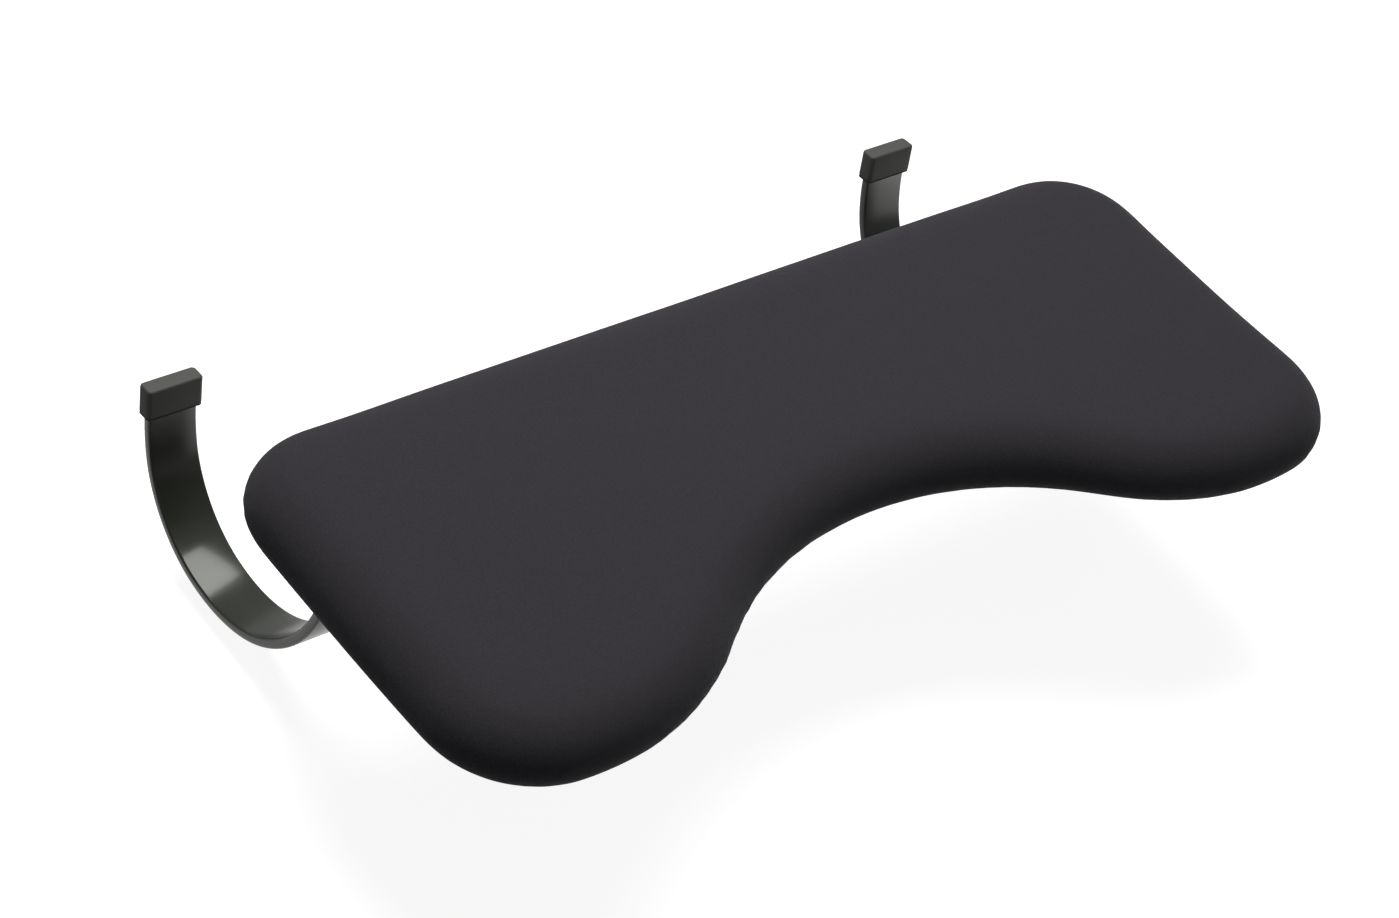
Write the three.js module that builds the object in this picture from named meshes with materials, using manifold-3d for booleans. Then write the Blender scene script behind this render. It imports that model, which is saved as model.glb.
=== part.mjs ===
// Desk-edge forearm support: an upholstered kidney-shaped pad carried by two flat-bar hooks.
// The rear strip of the pad lies on a desk top, the hooks pass round the desk's front edge and
// their end caps press up against its underside.
//
// Frame, in millimetres: +X to the sitter's right, +Y from the sitter towards the desk, +Z up.
// Origin: on the pad's underside, on the centre line, where the desk's front edge lies.
import * as THREE from 'three';
import { mergeVertices } from 'three/addons/utils/BufferGeometryUtils.js';
import Module from 'manifold-3d';

const wasm = await Module();
wasm.setup();

// ---------------------------------------------------------------- driving dimensions
const REAR_Y = 66.5;                // the pad overlaps the desk top by this much
const PAD = {
  thickness: 42,
  beltHeight: 16,                  // height of the pad's widest line above its underside
  topInset: 32,                    // how far the top edge rounds in
  bottomInset: 24,                 // how far the lower edge tucks in
};
// Right half of the outline from the rear edge round to the front, as convex arcs that turn to the
// right, each after a straight run. A hollow arc then turns back to the left and ends on the centre line.
const OUTLINE = [
  { run: 0, radius: 53, turn: 91.4 },      // rear corner
  { run: 144, radius: 60, turn: 82 },      // side of the elbow lobe
  { run: 0, radius: 155, turn: 46.5 },     // front of the elbow lobe
];
const REAR_STOP_X = 80;                    // the straight rear edge is faceted in three lengths
const RECESS_RADIUS = 206;                 // round recess for the sitter's body

const COVER_THICKNESS = 1.2;
const HEM_INSET = 40;              // the cover is turned under the board as far as this line
const LINER_THICKNESS = 1.0;
const BOARD = { bottom: 1.5, thickness: 9, inset: 26 };
const GAP = 0.3;                   // play between touching pieces

const BAR = { width: 30, thickness: 6, edge: 0.8 };
const HOOK_X = 258.5;              // hook centre line, left and right of the middle
const FOOT_END_Y = -85.4;          // front end of the screwed-down foot
const BEND_Y = -15.4;              // where the foot starts to bend down
const BEND = { radius: 10, turn: 86 };
// Hook centre line below the bend, as arcs that sweep back under the desk and up to the cap.
const HOOK_ARCS = [
  { radius: 118, turn: 48 },
  { radius: 92, turn: 48 },
  { radius: 70, turn: 63 },
  { radius: 122, turn: 12 },
];
const FLEX_DISTANCE = 6;           // distance below the bend at which the bar is taken to flex
const FLEX_GAP = 0.7;              // clearance between the foot and the arm at that point

const CAP = { width: 35.2, height: 19.2, depth: 12, pocket: 14.5, corner: 2.6, edge: 1.0 };

const SCREW = { radius: 2.8, headRadius: 5.25, headHeight: 3.2, socketRadius: 2.2, socketDepth: 1.8 };
const WASHER = { inner: 3.2, outer: 6, thickness: 1.4 };
const TNUT = { bore: 3.15, barrel: 3.9, barrelLength: 7.5, flange: 9.5, flangeThickness: 1.5 };
const SCREW_Y = [-38, -70];

const ARC_STEP = 6.5;              // degrees between points on the outline's arcs

// ---------------------------------------------------------------- finishes
const FINISH = {
  cover: { color: 0x2f2d31, roughness: 0.92, metalness: 0 },
  foam: { color: 0x8a8a84, roughness: 1, metalness: 0 },
  board: { color: 0xb48a5a, roughness: 0.8, metalness: 0 },
  liner: { color: 0x1c1c1e, roughness: 0.95, metalness: 0 },
  bar: { color: 0x22241f, roughness: 0.22, metalness: 0.4 },
  cap: { color: 0x33342f, roughness: 0.6, metalness: 0 },
  steel: { color: 0xb9bcc0, roughness: 0.35, metalness: 1 },
};

// ---------------------------------------------------------------- solids
const rad = THREE.MathUtils.degToRad;

function toSolid(geometry) {
  const plain = geometry.clone();
  plain.deleteAttribute('normal');
  plain.deleteAttribute('uv');
  const merged = mergeVertices(plain, 1e-4);
  return new wasm.Manifold(new wasm.Mesh({
    numProp: 3,
    vertProperties: new Float32Array(merged.attributes.position.array),
    triVerts: new Uint32Array(merged.index.array),
  }));
}

function toGeometry(solid) {
  const mesh = solid.getMesh();
  const geometry = new THREE.BufferGeometry();
  geometry.setAttribute('position', new THREE.BufferAttribute(new Float32Array(mesh.vertProperties), 3));
  geometry.setIndex(new THREE.BufferAttribute(new Uint32Array(mesh.triVerts), 1));
  geometry.computeVertexNormals();
  return geometry;
}

function cut(geometry, cutters) {
  return toGeometry(cutters.reduce((solid, cutter) => solid.subtract(toSolid(cutter)), toSolid(geometry)));
}

function cylinder(radius, low, high, x, y, sides = 24) {
  const geometry = new THREE.CylinderGeometry(radius, radius, high - low, sides);
  return geometry.rotateX(Math.PI / 2).translate(x, y, (low + high) / 2);
}

// A solid turned about the Z axis from [radius, height] pairs, which start and end on the same point.
function turned(profile, x, y, sides = 24) {
  const points = profile.map(([radius, height]) => new THREE.Vector2(radius, height));
  return new THREE.LatheGeometry(points, sides).rotateX(Math.PI / 2).translate(x, y, 0);
}

// ---------------------------------------------------------------- pad outline
// The arcs of the right half, each with its centre, first angle and sweep.
function outlineArcs() {
  const at = { x: 0, y: REAR_Y, heading: 0 };
  const bend = (radius, sweep) => {
    const side = Math.sign(sweep);
    const from = at.heading - (side * Math.PI) / 2;
    const centre = { x: at.x - radius * Math.cos(from), y: at.y - radius * Math.sin(from) };
    at.heading += sweep;
    at.x = centre.x + radius * Math.cos(from + sweep);
    at.y = centre.y + radius * Math.sin(from + sweep);
    return { centre, radius, from, sweep, side };
  };
  const arcs = OUTLINE.map(({ run, radius, turn }) => {
    at.x += run * Math.cos(at.heading);
    at.y += run * Math.sin(at.heading);
    return bend(radius, rad(-turn));
  });
  arcs.push(bend(RECESS_RADIUS, -Math.PI - at.heading));
  // The rear edge is as long as it must be for the recess to end on the centre line.
  arcs.forEach(({ centre }) => {
    centre.x -= at.x;
  });
  return arcs;
}

// The pad's outline drawn in by a given inset: the convex arcs shrink and the recess grows.
function outline(inset) {
  const right = [new THREE.Vector2(REAR_STOP_X, REAR_Y - inset)];
  for (const { centre, radius, from, sweep, side } of outlineArcs()) {
    const steps = Math.max(2, Math.round(Math.abs(sweep) / rad(ARC_STEP)));
    for (let i = 0; i <= steps; i += 1) {
      const angle = from + (sweep * i) / steps;
      const reach = radius + side * inset;
      right.push(new THREE.Vector2(centre.x + reach * Math.cos(angle), centre.y + reach * Math.sin(angle)));
    }
  }
  const left = right.slice(0, -1).reverse().map(({ x, y }) => new THREE.Vector2(-x, y));
  return [...right, ...left].reverse();
}

// A solid through outlines stacked at [height, inset] pairs, lowest first.
function loft(levels) {
  const rings = levels.map(([height, inset]) => ({ height, ring: outline(inset) }));
  const count = rings[0].ring.length;
  const positions = rings.flatMap(({ height, ring }) => ring.flatMap(({ x, y }) => [x, y, height]));
  const triangles = [];
  for (let level = 0; level < rings.length - 1; level += 1) {
    for (let i = 0; i < count; i += 1) {
      const a = level * count + i;
      const b = level * count + ((i + 1) % count);
      triangles.push(a, b, b + count, a, b + count, a + count);
    }
  }
  const lid = (level) => THREE.ShapeUtils.triangulateShape(rings[level].ring, [])
    .map((face) => face.map((i) => i + level * count));
  lid(0).forEach(([a, b, c]) => triangles.push(c, b, a));
  lid(rings.length - 1).forEach((face) => triangles.push(...face));
  const geometry = new THREE.BufferGeometry();
  geometry.setAttribute('position', new THREE.Float32BufferAttribute(positions, 3));
  geometry.setIndex(triangles);
  geometry.computeVertexNormals();
  return geometry;
}

// [height, inset] pairs of the pad's rounded side, drawn in all round by a given skin.
function sideProfile(skin) {
  const steps = 7;
  const lower = PAD.beltHeight - skin;
  const upper = PAD.thickness - PAD.beltHeight - skin;
  const levels = [];
  for (let i = 0; i <= steps; i += 1) {
    const angle = ((1 - i / steps) * Math.PI) / 2;
    levels.push([PAD.beltHeight - lower * Math.sin(angle), skin + PAD.bottomInset * (1 - Math.cos(angle))]);
  }
  for (let i = 1; i <= steps; i += 1) {
    const angle = ((i / steps) * Math.PI) / 2;
    levels.push([PAD.beltHeight + upper * Math.sin(angle), skin + PAD.topInset * (1 - Math.cos(angle))]);
  }
  return levels;
}

// ---------------------------------------------------------------- hook bar
const FOOT_Z = -GAP - BAR.thickness / 2;

// Walks the bar's centre line and gives stations { y, z, heading, distance }.
function barStations() {
  const stations = [];
  const at = { y: FOOT_END_Y, z: FOOT_Z, heading: 0, distance: 0 };
  const note = () => stations.push({ ...at });
  const straight = (length) => {
    at.y += length * Math.cos(at.heading);
    at.z += length * Math.sin(at.heading);
    at.distance += length;
    note();
  };
  const arc = (radius, turn) => {
    const steps = Math.max(2, Math.round(Math.abs(turn) / 6));
    const step = rad(turn) / steps;
    for (let i = 0; i < steps; i += 1) {
      const next = at.heading + step;
      const side = Math.sign(turn) * radius;
      at.y += side * (Math.sin(next) - Math.sin(at.heading));
      at.z -= side * (Math.cos(next) - Math.cos(at.heading));
      at.heading = next;
      at.distance += radius * Math.abs(step);
      note();
    }
  };
  note();
  straight(BEND_Y - FOOT_END_Y);
  arc(BEND.radius, -BEND.turn);
  HOOK_ARCS.forEach(({ radius, turn }) => arc(radius, turn));
  straight(CAP.pocket);
  return stations;
}

const STATIONS = barStations();
const FLEX_AT = BEND_Y - FOOT_END_Y + rad(BEND.turn) * BEND.radius + FLEX_DISTANCE;

function stationAt(distance) {
  const i = STATIONS.findIndex((station) => station.distance >= distance - 1e-9);
  const high = STATIONS[i];
  if (i === 0) return { ...high };
  const low = STATIONS[i - 1];
  const share = (distance - low.distance) / (high.distance - low.distance);
  const mix = (key) => low[key] + share * (high[key] - low[key]);
  return { y: mix('y'), z: mix('z'), heading: mix('heading'), distance };
}

// A stretch of the bar, cut square at both ends, with its long edges eased.
function barStretch(from, to, x) {
  // The eased edge is added all round the profile, so the profile is drawn in by that much.
  const first = from + BAR.edge;
  const last = to - BAR.edge;
  const inside = STATIONS.filter(({ distance }) => distance > first + 0.5 && distance < last - 0.5);
  const stretch = [stationAt(first), ...inside, stationAt(last)];
  const half = BAR.thickness / 2 - BAR.edge;
  const edge = (side) => stretch.map(({ y, z, heading }) => new THREE.Vector2(
    y - side * half * Math.sin(heading),
    z + side * half * Math.cos(heading),
  ));
  const shape = new THREE.Shape([...edge(-1), ...edge(1).reverse()]);
  const geometry = new THREE.ExtrudeGeometry(shape, {
    depth: BAR.width - 2 * BAR.edge,
    bevelEnabled: true,
    bevelThickness: BAR.edge,
    bevelSize: BAR.edge,
    bevelSegments: 2,
  });
  // The profile is drawn in Y and Z and swept across X.
  const toYZ = new THREE.Matrix4().makeBasis(
    new THREE.Vector3(0, 1, 0),
    new THREE.Vector3(0, 0, 1),
    new THREE.Vector3(1, 0, 0),
  );
  return geometry.applyMatrix4(toYZ).translate(x - BAR.width / 2 + BAR.edge, 0, 0);
}

// ---------------------------------------------------------------- end cap
function roundedBlock(width, depth, height, corner, edge) {
  const w = width / 2 - edge;
  const d = depth / 2 - edge;
  const r = corner - edge;
  const shape = new THREE.Shape();
  shape.absarc(w - r, d - r, r, 0, Math.PI / 2);
  shape.absarc(-w + r, d - r, r, Math.PI / 2, Math.PI);
  shape.absarc(-w + r, -d + r, r, Math.PI, Math.PI * 1.5);
  shape.absarc(w - r, -d + r, r, Math.PI * 1.5, Math.PI * 2);
  return new THREE.ExtrudeGeometry(shape, {
    depth: height - 2 * edge,
    bevelEnabled: true,
    bevelThickness: edge,
    bevelSize: edge,
    bevelSegments: 2,
    curveSegments: 4,
  }).translate(0, 0, edge);
}

// The cap stands on z = 0 with its pocket opening down.
function capGeometry() {
  const block = roundedBlock(CAP.width, CAP.depth, CAP.height, CAP.corner, CAP.edge);
  const deep = CAP.pocket + GAP;
  const pocket = new THREE.BoxGeometry(BAR.width + 2 * GAP, BAR.thickness + 2 * GAP, 2 * deep);
  return cut(block, [pocket]);
}

// ---------------------------------------------------------------- fasteners
function screwGeometry(x, y, headTop, tip) {
  const { radius, headRadius, headHeight, socketRadius, socketDepth } = SCREW;
  const low = headTop - headHeight;
  return turned([
    [0, low + socketDepth],
    [socketRadius, low + socketDepth],
    [socketRadius, low],
    [headRadius * 0.62, low],
    [headRadius * 0.9, low + headHeight * 0.35],
    [headRadius, low + headHeight * 0.8],
    [headRadius, headTop],
    [radius, headTop],
    [radius, tip - 0.8],
    [radius - 0.8, tip],
    [0, tip],
  ], x, y);
}

function washerGeometry(x, y, top) {
  const { inner, outer, thickness } = WASHER;
  const low = top - thickness;
  return turned([[inner, low], [outer, low], [outer, top], [inner, top], [inner, low]], x, y);
}

function tnutGeometry(x, y, seat) {
  const { bore, barrel, barrelLength, flange, flangeThickness } = TNUT;
  const low = seat - barrelLength;
  const high = seat + flangeThickness;
  return turned([
    [bore, low], [barrel, low], [barrel, seat], [flange, seat], [flange, high], [bore, high], [bore, low],
  ], x, y);
}

// ---------------------------------------------------------------- assembly
const support = new THREE.Group();

function add(name, geometry, finish, parent = support) {
  const mesh = new THREE.Mesh(geometry, new THREE.MeshStandardMaterial(FINISH[finish]));
  mesh.name = name;
  parent.add(mesh);
  return mesh;
}

const boardTop = BOARD.bottom + BOARD.thickness;
const tnutSeat = boardTop + GAP;
const footBottom = FOOT_Z - BAR.thickness / 2;
const screwPlaces = ['left', 'right'].flatMap((side) => SCREW_Y.map((y, i) => ({
  side,
  x: side === 'left' ? -HOOK_X : HOOK_X,
  y,
  place: i === 0 ? 'rear' : 'front',
})));
const drill = (radius, low, high) => screwPlaces.map(({ x, y }) => cylinder(radius, low, high, x, y));

function coverGeometry() {
  const outer = loft(sideProfile(0));
  const hollow = loft(sideProfile(COVER_THICKNESS));
  const opening = loft([[-1, HEM_INSET], [COVER_THICKNESS + 1, HEM_INSET]]);
  return cut(outer, [hollow, opening]);
}

function foamGeometry() {
  const block = loft(sideProfile(COVER_THICKNESS + GAP));
  const boardRoom = loft([[-1, BOARD.inset - GAP], [boardTop + GAP, BOARD.inset - GAP]]);
  const flangeRoom = drill(TNUT.flange + GAP, 0, tnutSeat + TNUT.flangeThickness + GAP);
  return cut(block, [boardRoom, ...flangeRoom]);
}

add('cover', coverGeometry(), 'cover');
add('foam_pad', foamGeometry(), 'foam');

const board = loft([[BOARD.bottom, BOARD.inset], [boardTop, BOARD.inset]]);
add('base_board', cut(board, drill(TNUT.barrel + GAP, 0, boardTop + 1)), 'board');

const liner = loft([[0, HEM_INSET + GAP], [LINER_THICKNESS, HEM_INSET + GAP]]);
add('bottom_liner', cut(liner, drill(SCREW.radius + GAP, -1, LINER_THICKNESS + 1)), 'liner');

for (const { side, x, y, place } of screwPlaces) {
  const washerTop = footBottom - GAP;
  const headTop = washerTop - WASHER.thickness - GAP;
  add(`${side}_${place}_screw`, screwGeometry(x, y, headTop, boardTop), 'steel');
  add(`${side}_${place}_washer`, washerGeometry(x, y, washerTop), 'steel');
  add(`${side}_${place}_tnut`, tnutGeometry(x, y, tnutSeat), 'steel');
}

const barEnd = STATIONS[STATIONS.length - 1];
const capBase = stationAt(barEnd.distance - CAP.pocket);
for (const [side, x] of [['left', -HOOK_X], ['right', HOOK_X]]) {
  const foot = barStretch(0, FLEX_AT - FLEX_GAP / 2, x);
  const footHoles = SCREW_Y.map((y) => cylinder(SCREW.radius + GAP + 0.1, -20, 5, x, y));
  add(`${side}_strap_foot`, cut(foot, footHoles), 'bar');
  add(`${side}_hook_arm`, barStretch(FLEX_AT + FLEX_GAP / 2, barEnd.distance, x), 'bar');
  const cap = add(`${side}_end_cap`, capGeometry(), 'cap');
  cap.position.set(x, capBase.y, capBase.z);
  cap.rotation.x = capBase.heading - Math.PI / 2;
}

export default support;
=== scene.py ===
"""Looks of a desk-edge forearm support: upholstered pad, two painted flat-bar hooks and their caps.

Lengths are in metres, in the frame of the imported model: +X to the sitter's right, +Y towards the desk, +Z up.
The origin is on the pad's underside, on the centre line, above the desk's front edge.
"""

from math import cos, hypot, pi, radians, sin

import bmesh
import bpy
import numpy as np
from bpy.props import FloatProperty, FloatVectorProperty, PointerProperty
from mathutils import Matrix, Vector


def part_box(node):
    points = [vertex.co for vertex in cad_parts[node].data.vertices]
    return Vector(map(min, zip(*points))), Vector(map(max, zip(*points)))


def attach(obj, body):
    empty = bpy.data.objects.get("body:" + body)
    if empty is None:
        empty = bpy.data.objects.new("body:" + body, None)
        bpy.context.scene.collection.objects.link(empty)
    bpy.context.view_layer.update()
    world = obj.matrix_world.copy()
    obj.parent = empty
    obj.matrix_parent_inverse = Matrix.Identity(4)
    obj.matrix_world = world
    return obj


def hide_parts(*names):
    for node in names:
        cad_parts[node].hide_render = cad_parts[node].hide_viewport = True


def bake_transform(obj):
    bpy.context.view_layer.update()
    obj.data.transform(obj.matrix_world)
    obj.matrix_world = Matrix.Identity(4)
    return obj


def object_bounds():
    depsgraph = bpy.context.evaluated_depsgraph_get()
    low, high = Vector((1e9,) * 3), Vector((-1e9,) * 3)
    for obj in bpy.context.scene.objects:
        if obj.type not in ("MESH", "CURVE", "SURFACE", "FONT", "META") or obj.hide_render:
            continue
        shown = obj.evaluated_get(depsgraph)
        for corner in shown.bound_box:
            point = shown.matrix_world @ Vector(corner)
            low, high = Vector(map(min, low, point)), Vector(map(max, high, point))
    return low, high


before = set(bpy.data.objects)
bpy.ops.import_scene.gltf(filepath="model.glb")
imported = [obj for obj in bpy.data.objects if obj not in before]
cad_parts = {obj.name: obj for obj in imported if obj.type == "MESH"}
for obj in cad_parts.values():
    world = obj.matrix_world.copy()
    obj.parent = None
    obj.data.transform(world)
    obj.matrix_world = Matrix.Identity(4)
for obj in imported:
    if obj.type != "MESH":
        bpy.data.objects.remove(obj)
CAD_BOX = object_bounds()

bl_info = {
    "name": "Desk-edge forearm support",
    "version": (1, 0, 0),
    "blender": (4, 5, 0),
    "location": "3D View > Sidebar > Forearm support",
    "description": "Builds the pad, hook bars, end caps, liner and fasteners of a forearm support",
    "category": "Add Mesh",
}

MM = 0.001
CLOSE = 0.01 * MM  # points nearer than this to a plane are taken to lie in it
SAME_POINT = 0.001 * MM
SIDES = ("left", "right")
PLACES = ("rear", "front")
PAD_BODY = "support_pad"

PAD_LOW, PAD_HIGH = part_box("cover")
LINER_LOW, LINER_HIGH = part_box("bottom_liner")
FOOT_LOW, FOOT_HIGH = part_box("left_strap_foot")
HOOK_X = -(FOOT_LOW.x + FOOT_HIGH.x) / 2


def length(default, name, description):
    return FloatProperty(name=name, description=description, default=default, unit="LENGTH", precision=4)


def angle(default, name, description):
    return FloatProperty(name=name, description=description, default=radians(default), subtype="ANGLE")


def colour(default, name, description):
    return FloatVectorProperty(
        name=name, description=description, default=default, subtype="COLOR", size=3, min=0, max=1
    )


def amount(default, name, description):
    return FloatProperty(name=name, description=description, default=default, min=0)


# ---- settings


class PadSettings(bpy.types.PropertyGroup):
    rear_radius: length(53 * MM, "Rear corner", "Radius of the pad's rear corners")
    rear_turn: angle(91.4, "Rear corner turn", "Angle that each rear corner turns through")
    side_run: length(144 * MM, "Side", "Straight run of the pad's sides")
    lobe_radius: length(60 * MM, "Lobe side", "Radius of the outer side of an elbow lobe")
    lobe_turn: angle(82, "Lobe side turn", "Angle that the lobe's outer side turns through")
    front_radius: length(155 * MM, "Lobe front", "Radius of the front of an elbow lobe")
    front_turn: angle(46.5, "Lobe front turn", "Angle that the lobe's front turns through")
    recess_radius: length(206 * MM, "Body recess", "Radius of the round recess for the sitter")
    belt_height: length(16 * MM, "Belt height", "Height of the widest line above the underside")
    top_inset: length(32 * MM, "Top inset", "How far the top edge rounds in")
    bottom_inset: length(24 * MM, "Bottom inset", "How far the lower edge tucks in")
    slack: length(-2.2 * MM, "Slack", "How much smaller than the filled pad its outline starts")
    settle: length(1.4 * MM, "Settle", "How much lower than the filled pad its top starts")
    voxel: length(5 * MM, "Cloth mesh", "Spacing of the cloth mesh before it is inflated")
    pressure: amount(4.0, "Pressure", "Pressure of the foam against the cover")
    swell: length(2.2 * MM, "Swell", "Furthest that the cover may move while it fills")
    pleat: length(0.9 * MM, "Pleats", "Height of the gathers under the corners")
    pleat_pitch: length(9 * MM, "Pleat pitch", "Distance between the gathers along a corner")


class LinerSettings(bpy.types.PropertyGroup):
    inset: length(34 * MM, "Inset", "Distance of the liner's edge from the pad's outline")
    thickness: length(0.5 * MM, "Thickness", "Thickness of the liner cloth")
    fold: length(10 * MM, "Folded edge", "Width of the turned edge")
    fold_step: length(0.8 * MM, "Fold step", "Width of the step beside the turned edge")
    fold_height: length(0.45 * MM, "Fold height", "How much lower the turned edge lies")
    lift: length(0.1 * MM, "Lift", "Height of the liner's upper face over the pad's underside")
    sag: length(0.25 * MM, "Sag", "Height of the waves between the staples")
    foot_room: length(18 * MM, "Foot room", "Half the width of the flat strip over a foot")
    grid: length(14 * MM, "Grid", "Spacing of the liner's mesh")
    staple_pitch: length(38 * MM, "Staple pitch", "Distance between staples")
    staple_width: length(10.5 * MM, "Staple width", "Length of a staple's crown")
    staple_wire: length(0.75 * MM, "Staple wire", "Thickness of a staple's wire")
    staple_drop: length(0.62 * MM, "Staple drop", "How low a staple's crown lies under the board")
    staple_room: length(24 * MM, "Staple room", "Distance that staples keep from a foot")


class BarSettings(bpy.types.PropertyGroup):
    thickness: length(6 * MM, "Thickness", "Thickness of the flat bar")
    edge: length(1.3 * MM, "Edge", "Radius of the bar's long edges")
    bend_radius: length(10 * MM, "Foot bend", "Radius of the bend below the foot, at mid thickness")
    bend_turn: angle(86, "Foot bend turn", "Angle of the bend below the foot")
    front_radius: length(118 * MM, "Front limb", "Radius of the front limb")
    front_turn: angle(48, "Front limb turn", "Angle of the front limb")
    floor_radius: length(92 * MM, "Lower arc", "Radius of the lowest stretch")
    floor_turn: angle(48, "Lower arc turn", "Angle of the lowest stretch")
    rise_radius: length(70 * MM, "Rising arc", "Radius of the rising stretch")
    rise_turn: angle(63, "Rising arc turn", "Angle of the rising stretch")
    tip_radius: length(122 * MM, "Tip arc", "Radius of the stretch below the cap")
    tip_turn: angle(12, "Tip arc turn", "Angle of the stretch below the cap")
    tip_run: length(14.5 * MM, "Tip", "Straight end that stands in the cap")
    flex_length: length(34 * MM, "Flex length", "Stretch of the front limb that bends when a hook opens")
    flex_lean: angle(17, "Flex lean", "Lean of the stretch that bends, against the upright")


class CapSettings(bpy.types.PropertyGroup):
    width: length(35.2 * MM, "Width", "Width of an end cap")
    depth: length(12 * MM, "Depth", "Depth of an end cap")
    height: length(19.2 * MM, "Height", "Height of an end cap")
    corner: length(2.7 * MM, "Corners", "Radius of the upright corners")
    top_edge: length(1.7 * MM, "Top edge", "Radius of the top edge")
    rim: length(1.5 * MM, "Rim height", "Height of the rim round the mouth")
    rim_stand: length(0.35 * MM, "Rim", "How far the rim stands proud of the sides")
    wall: length(1.45 * MM, "Wall", "Wall thickness at the mouth")
    pocket_gap: length(0.2 * MM, "Pocket gap", "Room between the bar's tip and the pocket's end")


class FastenerSettings(bpy.types.PropertyGroup):
    head_height: length(3.2 * MM, "Head height", "Height of the button head")
    head_rim: length(0.5 * MM, "Head rim", "Height of the straight rim of the button head")
    shank_radius: length(2.8 * MM, "Shank", "Radius of the screw's shank")
    socket: length(4.0 * MM, "Socket", "Width of the hexagon socket across its flats")
    socket_depth: length(1.8 * MM, "Socket depth", "Depth of the hexagon socket")
    hole_radius: length(3.2 * MM, "Washer hole", "Radius of the washer's hole")
    washer_edge: length(0.25 * MM, "Washer edge", "Radius of the washer's edges")


class FinishSettings(bpy.types.PropertyGroup):
    cloth: colour((0.0272, 0.0250, 0.0292), "Cover", "Colour of the cover")
    paint: colour((0.0300, 0.0325, 0.0265), "Bar paint", "Colour of the bars' paint")
    cap: colour((0.060, 0.062, 0.056), "Cap", "Colour of the end caps")
    liner: colour((0.016, 0.016, 0.017), "Liner", "Colour of the liner")
    zinc: colour((0.66, 0.67, 0.69), "Zinc", "Colour of the plated steel")
    ply: colour((0.50, 0.33, 0.17), "Plywood", "Colour of the base board")


class StageSettings(bpy.types.PropertyGroup):
    azimuth: angle(-46.69, "Azimuth", "Direction of the camera round the object")
    elevation: angle(41.33, "Elevation", "Height of the camera above the pad's plane")
    roll: angle(14.29, "Roll", "Turn of the camera about its own axis")
    aim_y: length(70 * MM, "Aim", "Point on the centre line that the camera is set out from")
    distance: length(1.8011, "Distance", "Distance of the camera")
    shift_right: length(17.4 * MM, "Right", "Sideways place of the camera")
    shift_up: length(-71.9 * MM, "Up", "Upward place of the camera")
    lens: FloatProperty(name="Lens", description="Focal length in millimetres", default=82.12)
    key_power: amount(43.0, "Key light", "Power of the overhead softbox in watts")
    fill_power: amount(1.5, "Fill light", "Power of the fill light in watts")
    floor_gap: length(14 * MM, "Floor gap", "Room for a hook that bends open to stay above the floor")
    floor: colour((0.38, 0.38, 0.38), "Floor", "Colour of the floor")
    side_glow: amount(1.7, "Side glow", "Pale floor beside the object, as the gloss paint sees it")
    rear_glow: amount(0.20, "Rear glow", "Pale wall behind the object, as the gloss paint sees it")
    glow: amount(0.90, "Floor glow", "Light that comes through the floor, as from a light table")


class SupportSettings(bpy.types.PropertyGroup):
    pad: PointerProperty(type=PadSettings)
    liner: PointerProperty(type=LinerSettings)
    bar: PointerProperty(type=BarSettings)
    cap: PointerProperty(type=CapSettings)
    fastener: PointerProperty(type=FastenerSettings)
    finish: PointerProperty(type=FinishSettings)
    stage: PointerProperty(type=StageSettings)


def settings():
    return bpy.context.scene.forearm_support


# ---- modelling helpers


def deselect():
    if bpy.context.object and bpy.context.object.mode == "EDIT":
        bpy.ops.object.mode_set(mode="OBJECT")
    bpy.ops.object.select_all(action="DESELECT")


def name_piece(name):
    """Names the newly added object and gives it back."""
    piece = bpy.context.object
    piece.name = piece.data.name = name
    return piece


def make_active(piece):
    deselect()
    piece.select_set(True)
    bpy.context.view_layer.objects.active = piece


def edit(piece):
    make_active(piece)
    bpy.ops.object.mode_set(mode="EDIT")
    bpy.ops.mesh.select_mode(type="VERT")


def end_edit():
    bpy.ops.object.mode_set(mode="OBJECT")


def pick(piece, kind, test):
    """In edit mode, selects only the vertices, edges or faces that pass a test."""
    bpy.ops.mesh.select_all(action="DESELECT")
    bpy.ops.mesh.select_mode(type={"verts": "VERT", "edges": "EDGE", "faces": "FACE"}[kind])
    mesh = bmesh.from_edit_mesh(piece.data)
    mesh.normal_update()
    for item in getattr(mesh, kind):
        item.select_set(bool(test(item)))
    mesh.select_flush_mode()
    bmesh.update_edit_mesh(piece.data)


def pick_all():
    bpy.ops.mesh.select_all(action="SELECT")


def tidy_normals():
    pick_all()
    bpy.ops.mesh.remove_doubles(threshold=SAME_POINT)
    bpy.ops.mesh.normals_make_consistent(inside=False)


def climb(edge):
    """How far an edge rises from one end to the other."""
    return abs(edge.verts[0].co.z - edge.verts[1].co.z)


def extrude(move):
    bpy.ops.mesh.extrude_region_move(TRANSFORM_OT_translate={"value": move})


def apply_place(piece):
    make_active(piece)
    bpy.ops.object.transform_apply(location=True, rotation=True, scale=True)


def modify(piece, kind, **values):
    """Adds a modifier, sets it up and applies it."""
    make_active(piece)
    bpy.ops.object.modifier_add(type=kind)
    modifier = piece.modifiers[-1]
    for key, value in values.items():
        setattr(modifier, key, value)
    bpy.ops.object.modifier_apply(modifier=modifier.name)


def subdivide(piece, levels):
    modify(piece, "SUBSURF", levels=levels, render_levels=levels)


def smooth(piece, degrees=35):
    make_active(piece)
    bpy.ops.object.shade_smooth_by_angle(angle=radians(degrees))


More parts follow.
